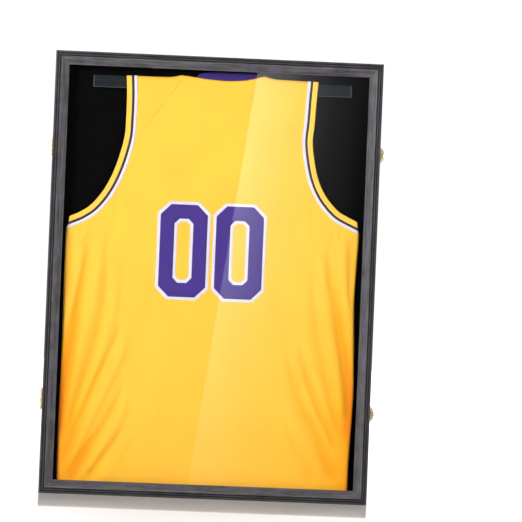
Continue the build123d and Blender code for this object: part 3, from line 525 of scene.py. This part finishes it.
# Folds: a line from its upper to its lower end, the half-width at each end, and the depth.
# Positive depth stands towards the viewer, negative is a valley.
FOLDS = [
    # left side, from the underarm and the middle down to the side seam
    ([(-260, 494), (-259, 450), (-262, 400), (-268, 350)], 6, 8, -3.6),
    ([(-246, 486), (-240, 450), (-242, 410), (-252, 350), (-262, 300)], 5, 8, 4.2),
    ([(-219, 476), (-226, 425), (-236, 375), (-245, 315), (-256, 245), (-264, 175), (-266, 90)], 6, 11, -7.8),
    ([(-206, 480), (-207, 420), (-214, 350), (-228, 280), (-242, 215), (-254, 150), (-262, 90)], 7, 11, 5.2),
    ([(-190, 450), (-191, 380), (-200, 310), (-215, 245), (-234, 175), (-252, 110)], 5, 8, -4.0),
    ([(-178, 440), (-174, 370), (-182, 305), (-199, 245), (-220, 185), (-242, 125)], 7, 9, 3.2),
    ([(-160, 330), (-166, 296), (-181, 258), (-204, 205), (-226, 148), (-246, 84), (-254, 50)], 4, 8, -4.8),
    ([(-148, 310), (-158, 260), (-180, 205), (-204, 150), (-228, 98), (-250, 50)], 6, 8, 4.4),
    ([(-150, 210), (-161, 176), (-189, 121), (-212, 84), (-234, 50), (-246, 28)], 4, 8, -5.0),
    ([(-140, 190), (-156, 140), (-180, 98), (-206, 60), (-226, 30)], 6, 8, 4.0),
    ([(-146, 130), (-160, 105), (-180, 76), (-198, 47), (-210, 26)], 4, 7, -4.0),
    ([(-196, 112), (-214, 78), (-231, 46), (-240, 22)], 5, 9, -5.6),
    ([(-132, 120), (-150, 84), (-168, 54), (-184, 24)], 6, 9, 2.2),
    ([(-240, 484), (-246, 460)], 3, 3, -1.6),
    ([(-223, 489), (-229, 466)], 3, 3, -1.6),
    ([(-192, 480), (-193, 430)], 3, 3, -1.4),
    ([(-173, 560), (-180, 518), (-178, 480)], 3.5, 3, -1.4),
    # right side
    ([(259, 502), (257, 450), (257, 400), (262, 350)], 6, 8, -3.6),
    ([(240, 500), (242, 450), (247, 395), (256, 330)], 5, 8, 4.0),
    ([(212, 480), (219, 425), (234, 362), (243, 305), (254, 250), (261, 190), (263, 100)], 6, 11, -7.4),
    ([(200, 480), (205, 420), (215, 350), (227, 285), (241, 215), (254, 145)], 7, 10, 5.0),
    ([(184, 440), (190, 370), (201, 300), (217, 235), (237, 165), (252, 105)], 5, 8, -3.8),
    ([(168, 380), (177, 315), (193, 250), (213, 192), (236, 130)], 7, 9, 3.0),
    ([(166, 292), (178, 249), (194, 206), (210, 167), (226, 138), (244, 96)], 4, 7, -4.6),
    ([(154, 300), (166, 245), (184, 195), (204, 152), (232, 98)], 6, 8, 3.6),
    ([(143, 290), (150, 256), (162, 212), (181, 166), (204, 127), (229, 72), (250, 30)], 4, 9, -5.2),
    ([(132, 250), (148, 190), (170, 140), (196, 94), (222, 40)], 7, 9, 4.0),
    ([(146, 150), (166, 104), (190, 62), (208, 28)], 4, 7, -2.6),
    ([(224, 500), (216, 468)], 3, 3, -1.5),
    ([(237, 508), (232, 482)], 3, 3, -1.5),
    ([(176, 560), (182, 515), (180, 480)], 3.5, 3, -1.2),
    # broad, shallow movement across the middle and the top
    ([(-60, 330), (-80, 200), (-110, 60)], 34, 40, 1.6),
    ([(60, 330), (84, 200), (112, 60)], 34, 40, -1.4),
    ([(0, 340), (4, 200), (-6, 60)], 30, 36, -1.2),
    ([(-120, 640), (-90, 560), (-110, 420)], 24, 28, 1.1),
    ([(128, 640), (104, 560), (120, 420)], 24, 28, 1.2),
    ([(-96, 420), (-118, 330), (-150, 230)], 14, 18, -1.2),
    ([(108, 420), (126, 340), (150, 270)], 14, 18, -1.2),
    ([(30, 765), (36, 735), (60, 700)], 9, 14, -0.8),
]  # fmt: skip


def distance_to_line(x, z, line):
    """Distance from each point to a polyline, and the share of its length at the nearest point."""
    line = np.array(line, float)
    lengths = np.linalg.norm(np.diff(line, axis=0), axis=1)
    total = lengths.sum()
    best = np.full(x.shape, 1e9)
    share = np.zeros(x.shape)
    done = 0.0
    for a, b, length in zip(line[:-1], line[1:], lengths):
        t = np.clip(((x - a[0]) * (b[0] - a[0]) + (z - a[1]) * (b[1] - a[1])) / length**2, 0, 1)
        gap = np.hypot(x - a[0] - t * (b[0] - a[0]), z - a[1] - t * (b[1] - a[1]))
        nearer = gap < best
        best = np.where(nearer, gap, best)
        share = np.where(nearer, (done + t * length) / total, share)
        done += length
    return best, share


FOLD_LINES = [(smooth_curve(line, 12.0), top, bottom, depth) for line, top, bottom, depth in FOLDS]
DEEPEST = min(depth for *_, depth in FOLDS)


def relief(x, z):
    """How far the cloth stands towards the viewer from its plane, in millimetres."""
    x, z = np.atleast_1d(np.asarray(x, float)), np.atleast_1d(np.asarray(z, float))
    total = np.zeros(x.shape)
    for line, top, bottom, depth in FOLD_LINES:
        reach = 2.8 * max(top, bottom)
        low, high = line.min(0) - reach, line.max(0) + reach
        near = (x > low[0]) & (x < high[0]) & (z > low[1]) & (z < high[1])
        if not near.any():
            continue
        gap, share = distance_to_line(x[near], z[near], line)
        width = top + (bottom - top) * share
        ends = smooth_step(share / 0.22) * smooth_step((1 - share) / 0.12)
        total[near] += depth * ends * np.exp(-((gap / width) ** 2))
    for hand in (-1, 1):
        side = np.interp(z, SIDE_CURVES[hand][::-1, 1], SIDE_CURVES[hand][::-1, 0])
        inside = np.clip(hand * (side - x), 0, None)
        total *= 0.35 + 0.65 * smooth_step(inside / 12.0)
        turn = np.clip(1 - inside / 5.0, 0, 1)
        below = smooth_step((ARMHOLE_CURVES[hand][-1, 1] - z + 6) / 30)
        total -= 1.6 * (1 - np.sqrt(1 - turn**2 * 0.98)) * below
    total += 1.2 * smooth_step((500 - z) / 160)
    return np.where(total > 0, 7.0 * np.tanh(total / 7.0), 3.6 * np.tanh(total / 3.6))


def painted_fold_shade(x, z):
    """How much painted shade each point of the cloth takes, from 0 to 1: in the fold valleys, along both side
    edges and towards the hem.
    """
    total = np.zeros(x.shape)
    # Painted shade in the fold valleys.
    for line, top, bottom, depth in FOLD_LINES:
        if depth > -1.1:
            continue
        gap, share = distance_to_line(x, z, line)
        width = top + (bottom - top) * share
        ends = smooth_step(share / 0.5) * smooth_step((1 - share) / 0.1)
        total += (depth / DEEPEST) ** 1.6 * 0.5 * ends * np.exp(-((gap / width) ** 2))
    # Painted shade along both side edges, most towards the hem.
    for hand in (-1, 1):
        side = np.interp(z, SIDE_CURVES[hand][::-1, 1], SIDE_CURVES[hand][::-1, 0])
        inside = np.clip(hand * (side - x), 0, None)
        total += 0.45 * np.exp(-inside / 30.0) * smooth_step((420 - z) / 220)
        total += 0.2 * np.exp(-inside / 80.0) * smooth_step((300 - z) / 240)
    # Painted shade, a little darker towards the hem.
    total += 0.05 * smooth_step((160 - z) / 150)
    return np.clip(total, 0, 1)


def cloth_points(x, z, lift=0.0):
    """Points on the cloth's front layer, lifted towards the viewer, in metres."""
    x, z = np.asarray(x, float), np.asarray(z, float)
    y = FRONT_LAYER - (relief(x, z) + lift) * MM
    return np.stack([x * MM, y, z * MM], -1)


def outline_x(hand, level):
    """X of the cloth's edge at each level."""
    curve = np.vstack([ARMHOLE_CURVES[hand], SIDE_CURVES[hand][1:]])[::-1]
    return np.interp(level, curve[:, 1], curve[:, 0])


def row_levels():
    """Levels of the cloth's rows, closer together where the armholes turn."""
    hem = HEM / MM
    parts = [np.arange(hem, 488, 4.0), np.arange(488, 575, 1.8), np.arange(575, TOP_LEVEL - 2, 4.0)]
    return np.concatenate(parts + [[TOP_LEVEL - 1.2]])


def panel_grid(columns=151):
    """X and Z of the back panel's grid, from the hem up."""
    levels = row_levels()
    across = np.linspace(0, 1, columns)
    left, right = outline_x(-1, levels)[:, None], outline_x(1, levels)[:, None]
    x = left + (right - left) * across
    z = np.repeat(levels[:, None], columns, 1)
    rise = np.interp(x, TOP_CURVE[:, 0], TOP_CURVE[:, 1]) - TOP_LEVEL
    return x, z + rise * smooth_step((z - 735) / 30)


def flat_area(x, z):
    """Area of a grid laid flat, in square metres."""
    ax, az = np.diff(x, axis=1)[:-1], np.diff(z, axis=0)[:, :-1]
    return float(np.abs(ax * az).sum()) * MM**2


def build_back_cloth():
    x, z = panel_grid()
    points = cloth_points(x, z).reshape(-1, 3)
    piece = make_piece("jersey_back_cloth", points, grid_faces(*x.shape), MATERIALS["yellow_knit"])
    # The painted fold shade is kept on the cloth's points for its material.
    fold_shade_layer = piece.data.attributes.new("painted_fold_shade", "FLOAT", "POINT")
    fold_shade_layer.data.foreach_set("value", painted_fold_shade(x, z).ravel())
    thicken(piece, CLOTH)
    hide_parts("jersey_back_panel")
    return piece, flat_area(x, z), (np.ptp(x) * MM, np.ptp(z) * MM)


NECK_LEFT, NECK_RIGHT, FRONT_NECK_DEPTH = -66.0, 81.0, 140.0
NECK_MIDDLE = (NECK_LEFT + NECK_RIGHT) / 2
CLOTH, TAPE = 0.6 * MM, 0.5 * MM


def build_front_cloth():
    """The panel behind the bar, with its deep neck, and the straps that pass over the bar."""
    levels = row_levels()
    columns = 121
    across = np.linspace(0, 1, columns)
    left, right = outline_x(-1, levels)[:, None] + 1, outline_x(1, levels)[:, None] - 1
    x = left + (right - left) * across
    half = (NECK_RIGHT - NECK_LEFT) / 2
    inside = np.clip(1 - ((x - NECK_MIDDLE) / half) ** 2, 0, None)
    shoulder = np.interp(x, TOP_CURVE[:, 0], TOP_CURVE[:, 1]) - 1.2
    top = shoulder - FRONT_NECK_DEPTH * inside**0.5
    hem = HEM / MM
    share = (levels[:, None] - hem) / (levels[-1] - hem)
    z = hem + share * (np.where(inside > 0, top, shoulder) - hem)
    turn = smooth_step(1 - np.minimum(x - left, right - x) / 12.0) * smooth_step((520 - z) / 40)
    # The ripple is slight enough for the cloth to stay clear of the bar's back.
    ripple = 0.6 * MM * np.sin(x / 31) * np.sin(z / 120 + 1)
    y = REAR_LAYER + ripple + (JOIN_LAYER - REAR_LAYER) * turn * 0.8
    points = [np.stack([x * MM, np.minimum(y, REAR_LAYER + 2.4 * MM), z * MM], -1).reshape(-1, 3)]
    faces = grid_faces(*x.shape)
    area = flat_area(x, z)

    straps = ((ARMHOLE_CURVES[-1][0, 0], NECK_LEFT), (NECK_RIGHT, ARMHOLE_CURVES[1][0, 0]))
    for low, high in straps:
        start = sum(len(p) for p in points)
        strap_x = np.linspace(low, high, 40)
        crest = np.interp(strap_x, TOP_CURVE[:, 0], TOP_CURVE[:, 1])
        rows = []
        for angle in np.linspace(0, math.pi, 11):
            front = FRONT_LAYER - relief(strap_x, crest - 1.2) * MM
            along = (1 - math.cos(angle)) / 2
            y_row = front + (REAR_LAYER - front) * along
            level = crest - 1.4 + 1.4 * math.sin(angle)
            rows.append(np.stack([strap_x * MM, y_row, level * MM], -1))
        points.append(np.array(rows).reshape(-1, 3))
        faces += grid_faces(11, 40, start)
        area += (high - low) * 8.0 * MM**2
    piece = make_piece("jersey_front_cloth", np.vstack(points), faces, MATERIALS["yellow_knit"])
    thicken(piece, CLOTH)
    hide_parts("jersey_front_panel")
    return piece, area, (np.ptp(x) * MM, np.ptp(z) * MM)


def build_neck_lining():
    """The purple band inside the back of the neck, which stands up behind the neckline."""
    columns, rows = 60, 14
    x = np.linspace(-40, 72, columns)
    low = np.interp(x, TOP_CURVE[:, 0], TOP_CURVE[:, 1]) - 3.5
    arch = np.clip(1 - ((x - 16) / 57) ** 2, 0, None) ** 0.4
    high = low + 2 + (COLLAR_HIGH.z / MM - 769) * arch
    share = np.linspace(0, 1, rows)[:, None]
    z = low + (high - low) * share
    # Up to the bar's top it lies flat between the cloth and the bar, and leans back above it.
    above = np.clip((z - BAR_HIGH.z / MM - 0.8) / 13.0, 0, None)
    y = FRONT_LAYER + (0.72 + 3.4 * above**1.3) * MM
    points = np.stack([np.repeat(x[None] * MM, rows, 0), y, z * MM], -1).reshape(-1, 3)
    piece = make_piece("jersey_neck_lining", points, grid_faces(rows, columns), MATERIALS["purple_knit"])
    thicken(piece, CLOTH)
    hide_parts("jersey_collar")
    return piece


YOKE_LINES = [
    [(-68, 766), (-96, 725), (-120, 693), (-150, 657)],
    [(83, 769), (98, 740), (122, 700), (156, 655)],
]


def build_yoke_crease_lines():
    """Two fine raised lines that slant from the neck's corners to the armholes, a little darker than the
    cloth: painted shade along thin creases.
    """
    runs = []
    for line in YOKE_LINES:
        curve = smooth_curve(line, 2.5)
        along = np.gradient(curve, axis=0)
        normal = np.stack([along[:, 1], -along[:, 0]], 1) / np.linalg.norm(along, axis=1)[:, None]
        rows = [curve + normal * d for d in (-0.7, -0.35, 0, 0.35, 0.7)]
        lifts = (0.1, 0.5, 0.62, 0.5, 0.1)
        sheet = np.array([cloth_points(r[:, 0], r[:, 1], lift) for r, lift in zip(rows, lifts)])
        runs.append((sheet, grid_faces(5, len(curve))))
    piece = make_joined("yoke_crease_lines", runs, MATERIALS["crease_shade_strip"])
    thicken(piece, 0.4 * MM)
    return piece


def edge_normals(curve, hand):
    """Unit vectors that point from the armhole's edge into the cloth."""
    along = np.gradient(curve, axis=0)
    along /= np.linalg.norm(along, axis=1)[:, None]
    return np.stack([along[:, 1], -along[:, 0]], 1) * hand


def trim_line(hand, inward):
    """A line that follows an armhole at a distance, ending on the cloth's side edge."""
    curve = ARMHOLE_CURVES[hand]
    last = (curve[-1] - curve[-5]) / np.linalg.norm(curve[-1] - curve[-5])
    curve = np.vstack([curve, curve[-1] + last * np.arange(2, 32, 2)[:, None]])
    line = curve + edge_normals(curve, hand) * inward
    beyond = hand * (line[:, 0] - outline_x(hand, line[:, 1])) + 0.3
    past = np.nonzero(beyond > 0)[0]
    past = past[past >= len(ARMHOLE_CURVES[hand]) - 1]
    if len(past):
        k = past[0]
        share = float(np.clip(beyond[k - 1] / (beyond[k - 1] - beyond[k]), 0, 1))
        line = np.vstack([line[:k], line[k - 1] + (line[k] - line[k - 1]) * share])
    run = np.concatenate([[0], np.cumsum(np.linalg.norm(np.diff(line, axis=0), axis=1))])
    steps = np.linspace(0, run[-1], len(ARMHOLE_CURVES[hand]))
    return np.stack([np.interp(steps, run, line[:, k]) for k in (0, 1)], 1)


def trim_strip(name, hand, inner, outer, crown, lift, material):
    """A tape that follows an armhole, between two distances from its edge."""
    rows = []
    for share, rise in zip(np.linspace(0, 1, len(crown)), crown):
        line = trim_line(hand, inner + (outer - inner) * share)
        rows.append(cloth_points(line[:, 0], line[:, 1], lift + rise))
    points = np.array(rows).reshape(-1, 3)
    piece = make_piece(name, points, grid_faces(*np.array(rows).shape[:2]), material)
    thicken(piece, TAPE)
    return piece


BAND_WIDTH, DARK_WIDTH, WHITE_WIDTH = 9.0, 4.3, 5.7
TWO_ROLLS = (0.0, 0.6, 0.95, 0.95, 0.7, 0.4, 0.7, 0.95, 0.95, 0.6, 0.0)
FLAT_TAPE = (0.0, 0.22, 0.3, 0.3, 0.3, 0.22, 0.0)


def stitch_line(line, pitch, length, width, lift, closed=False):
    """Thread dashes along a line: six-sided slivers, with points and faces of one mesh."""
    line = np.array(line, float)
    if closed:
        line = np.vstack([line, line[:1]])
    run = np.concatenate([[0], np.cumsum(np.linalg.norm(np.diff(line, axis=0), axis=1))])
    at = np.arange(pitch / 2, run[-1] - pitch / 2, pitch)
    first, last = (
        np.stack([np.interp(at + s * length / 2, run, line[:, k]) for k in (0, 1)], 1) for s in (-1, 1)
    )  # fmt: skip
    along = (last - first) / np.linalg.norm(last - first, axis=1)[:, None]
    side = np.stack([-along[:, 1], along[:, 0]], 1) * width / 2
    middle = (first + last) / 2
    spots = np.stack([first, middle + side, middle - side, last, middle, middle], 1)
    lifts = np.array([0, 0.2, 0.2, 0, 0.8, -0.4]) * width + lift
    points = cloth_points(spots[:, :, 0], spots[:, :, 1], lifts[None]).reshape(-1, 3)
    faces = []
    for k in range(0, len(points), 6):
        for top, ring in ((4, (0, 1, 3, 2)), (5, (0, 2, 3, 1))):
            faces += [(k + ring[n], k + ring[(n + 1) % 4], k + top) for n in range(4)]
    return points, faces


def build_armhole_trims():
    pieces = []
    for hand, side in ((-1, "left"), (1, "right")):
        first, second = BAND_WIDTH, BAND_WIDTH + DARK_WIDTH
        third = second + WHITE_WIDTH
        strips = [
            ("armhole_band_" + side, -0.5, first, TWO_ROLLS, 0.5, "band_rib"),
            ("armhole_stripe_dark_" + side, first, second, FLAT_TAPE, 0.5, "dark_tape"),
            ("armhole_stripe_white_" + side, second, third, FLAT_TAPE, 0.6, "white_tape"),
        ]
        for name, inner, outer, crown, lift, finish in strips:
            pieces.append(trim_strip(name, hand, inner, outer, crown, lift, MATERIALS[finish]))
        seams = (
            ("band_stitching_", first * 0.48, 1.05, "band_rib"),
            ("stripe_stitching_", third - 1.3, 1.25, "white_tape"),
        )
        for name, distance, lift, finish in seams:
            threads, faces = stitch_line(trim_line(hand, distance), 3.2, 2.4, 0.55, lift)
            piece = make_piece(name + side, threads, faces, MATERIALS[finish])
            pieces.append(piece)
    return pieces


# ---------------------------------------------------------------- the number

DIGIT_BOXES = [((-97, -10.5), (367, 536.5)), ((5.5, 92.5), (367, 536.5))]
STROKE, BORDER = 26.0, 5.6


def octagon(box, grow, cut):
    """A rectangle with cut corners, grown on every side, with a set number of points on each edge."""
    (x0, x1), (z0, z1) = box
    x0, x1, z0, z1 = x0 - grow, x1 + grow, z0 - grow, z1 + grow
    corners = [
        (x0 + cut, z0), (x1 - cut, z0), (x1, z0 + cut), (x1, z1 - cut),
        (x1 - cut, z1), (x0 + cut, z1), (x0, z1 - cut), (x0, z0 + cut),
    ]  # fmt: skip
    points = []
    counts = [18, 8, 36, 8, 18, 8, 36, 8]
    for k, count in enumerate(counts):
        a, b = np.array(corners[k]), np.array(corners[(k + 1) % 8])
        points += [a + (b - a) * n / count for n in range(count)]
    return np.array(points)


def digit_ring(box, outer_grow, inner_grow, lift, edge_drop=0.35):
    """A block zero: the band between two cut-cornered outlines, with softly turned edges."""
    outer = octagon(box, outer_grow, 19 + outer_grow * 0.45)
    inner = octagon(box, -STROKE + inner_grow, 9 + inner_grow * 0.45)
    rows = []
    for share in (0, 0.02, 0.06, 0.25, 0.5, 0.75, 0.94, 0.98, 1):
        line = outer + (inner - outer) * share
        drop = edge_drop * (1 - smooth_step(np.array(min(share, 1 - share) / 0.06)))
        rows.append(cloth_points(line[:, 0], line[:, 1], lift - drop))
    return np.array(rows).reshape(-1, 3), grid_faces(len(rows), len(outer), closed=True)


def build_number():
    """Two generic block digits: a white twill base with a purple face sewn on it."""
    pieces = []
    layers = [
        ("number_border", BORDER, -BORDER, 0.75, "white_twill"),
        ("number_face", 0, 0, 1.25, "purple_twill"),
    ]
    for name, outer, inner, lift, finish in layers:
        rings = [digit_ring(box, outer, inner, lift) for box in DIGIT_BOXES]
        piece = make_joined(name, rings, MATERIALS[finish])
        thicken(piece, TAPE)
        pieces.append(piece)
    for name, finish, offsets, lift in (
        ("number_face_stitching", "purple_twill", (-1.6, 1.6), 1.62),
        ("number_border_stitching", "white_twill", (BORDER - 1.4, 1.4 - BORDER), 1.12),
    ):
        runs = []
        for box in DIGIT_BOXES:
            outer = octagon(box, offsets[0], 19 + offsets[0] * 0.45)
            inner = octagon(box, -STROKE + offsets[1], 9 + offsets[1] * 0.45)
            for outline in (outer, inner):
                runs.append(stitch_line(outline, 2.8, 2.2, 0.5, lift, closed=True))
        piece = make_joined(name, runs, MATERIALS[finish])
        pieces.append(piece)
    return pieces


def build_jersey():
    back, back_area, back_size = build_back_cloth()
    front, front_area, front_size = build_front_cloth()
    lining = build_neck_lining()
    trims = build_armhole_trims() + [build_yoke_crease_lines()]
    number = build_number()


# ---------------------------------------------------------------- camera, light and studio

CAMERA_DISTANCE = 6.0
CAMERA_YAW = math.radians(-2.49)  # from the left
CAMERA_RISE = math.radians(-0.49)
CAMERA_ROLL = math.radians(2.34)
CAMERA_LENS = 225.6
CAMERA_SHIFT = (0.0958, 0.0327)
AMBIENT = 0.45


def place_camera():
    data = bpy.data.cameras.new("camera")
    data.lens = CAMERA_LENS
    data.sensor_width = 36.0
    data.shift_x, data.shift_y = CAMERA_SHIFT
    data.clip_end = 100.0
    away = Vector((
        math.sin(CAMERA_YAW) * math.cos(CAMERA_RISE),
        -math.cos(CAMERA_YAW) * math.cos(CAMERA_RISE),
        math.sin(CAMERA_RISE),
    ))  # fmt: skip
    right = (-away).cross(Vector((0, 0, 1))).normalized()
    up = right.cross(-away)
    rolled = right * math.cos(CAMERA_ROLL) + up * math.sin(CAMERA_ROLL)
    over = up * math.cos(CAMERA_ROLL) - right * math.sin(CAMERA_ROLL)
    camera = bpy.data.objects.new("camera", data)
    turn = Matrix((rolled, over, away)).transposed().to_4x4()
    camera.matrix_world = Matrix.Translation(MIDDLE + away * CAMERA_DISTANCE) @ turn
    bpy.context.scene.collection.objects.link(camera)
    bpy.context.scene.camera = camera
    return camera


def area_light(name, place, target, width, height, watts, colour=(1, 1, 1)):
    data = bpy.data.lights.new(name, "AREA")
    data.shape = "RECTANGLE"
    data.size, data.size_y = width, height
    data.energy = watts
    data.color = colour
    light = bpy.data.objects.new(name, data)
    light.location = place
    light.rotation_euler = (Vector(target) - Vector(place)).to_track_quat("-Z", "Y").to_euler()
    bpy.context.scene.collection.objects.link(light)
    return light


def light_studio():
    area_light("key", (-2.3, -2.8, 1.35), MIDDLE, 1.0, 1.0, 144)
    area_light("fill", (2.4, -2.4, 1.0), MIDDLE, 1.2, 1.2, 48)
    area_light("rim", (0.4, 2.6, 2.6), MIDDLE, 3.0, 1.2, 90)
    world = bpy.data.worlds.new("studio")
    bpy.context.scene.world = world
    world.use_nodes = True
    tree = world.node_tree
    tree.nodes.clear()
    # The room is white behind the frame and soft all round; its front is dark in mirrors,
    # so the pane shows the softboxes and nothing else.
    coords = tree.nodes.new("ShaderNodeTexCoord")
    split = tree.nodes.new("ShaderNodeSeparateXYZ")
    behind = tree.nodes.new("ShaderNodeMapRange")
    path = tree.nodes.new("ShaderNodeLightPath")
    soft = tree.nodes.new("ShaderNodeMix")
    seen = tree.nodes.new("ShaderNodeMix")
    glow = tree.nodes.new("ShaderNodeBackground")
    glow.inputs["Color"].default_value = (1, 1, 1, 1)
    out = tree.nodes.new("ShaderNodeOutputWorld")
    tree.links.new(coords.outputs["Generated"], split.inputs[0])
    tree.links.new(split.outputs[1], behind.inputs["Value"])
    for name, value in (("From Min", -0.97), ("From Max", 0.1), ("To Min", 0.012), ("To Max", 1.1)):
        behind.inputs[name].default_value = value
    tree.links.new(path.outputs["Is Glossy Ray"], soft.inputs[0])
    soft.inputs[2].default_value = AMBIENT
    tree.links.new(behind.outputs[0], soft.inputs[3])
    tree.links.new(path.outputs["Is Camera Ray"], seen.inputs[0])
    tree.links.new(soft.outputs[0], seen.inputs[2])
    seen.inputs[3].default_value = 1.05
    tree.links.new(seen.outputs[0], glow.inputs["Strength"])
    tree.links.new(glow.outputs[0], out.inputs[0])
    bpy.context.scene.view_settings.view_transform = "Standard"


def stage_piece(name, points, faces, material):
    piece = make_piece(name, points, faces, material, body=None, smooth=False)
    return piece


def build_floor():
    reach = 14.0
    corners = [(-reach, -reach, 0), (reach, -reach, 0), (reach, reach, 0), (-reach, reach, 0)]
    floor = stage_piece("floor", corners, [(0, 1, 2, 3)], MATERIALS["floor"])
    floor.visible_glossy = False


def build_window_card(camera):
    """A softbox in front of the pane, seen only in its polish, as a slanting sheet of light."""
    depth = 2.6
    eye = camera.matrix_world.translation
    face = PANE_LOW.y
    share = depth / (face - eye.y)

    def mirrored(x, z):
        p = Vector((x * MM, face, z * MM))
        return Vector((p.x + (p.x - eye.x) * share, face - depth, p.z + (p.z - eye.z) * share))

    top, bottom = mirrored(78, 850), mirrored(-36, -38)
    width = Vector((0.42, 0, -0.02))
    columns = 24
    points = [top + width * (k / columns) for k in range(columns + 1)]
    points += [bottom + width * (k / columns) for k in range(columns + 1)]
    s = Shader("window_card")
    across = s.add("SeparateXYZ", {0: s.add("UVMap").outputs[0]})
    sideways = ((0.0, 1.0), (0.1, 0.74), (0.3, 0.3), (0.5, 0.1), (0.75, 0.02), (1.0, 0.0))
    upwards = ((0.0, 0.12), (0.35, 0.5), (0.7, 0.9), (1.0, 1.0))
    fade = s.ramp(across.outputs[0], *((at, grey(level)) for at, level in sideways))
    down = s.ramp(across.outputs[1], *((at, grey(level)) for at, level in upwards))
    glow = s.add("Emission", {"Color": s.mix(1.0, fade, down, "MULTIPLY"), "Strength": 1.9})
    s.tree.links.new(glow.outputs[0], s.output.inputs[0])
    card = stage_piece("window_card", points, grid_faces(2, columns + 1), s.material)
    uv = card.data.uv_layers.new(name="UVMap")
    for loop in card.data.loops:
        row, column = divmod(loop.vertex_index, columns + 1)
        uv.data[loop.index].uv = (column / columns, 1 - row)
    for ray in ("camera", "diffuse", "shadow", "transmission", "volume_scatter"):
        setattr(card, "visible_" + ray, False)


dress_frame()
build_jersey()
view_camera = place_camera()
light_studio()
build_floor()
build_window_card(view_camera)
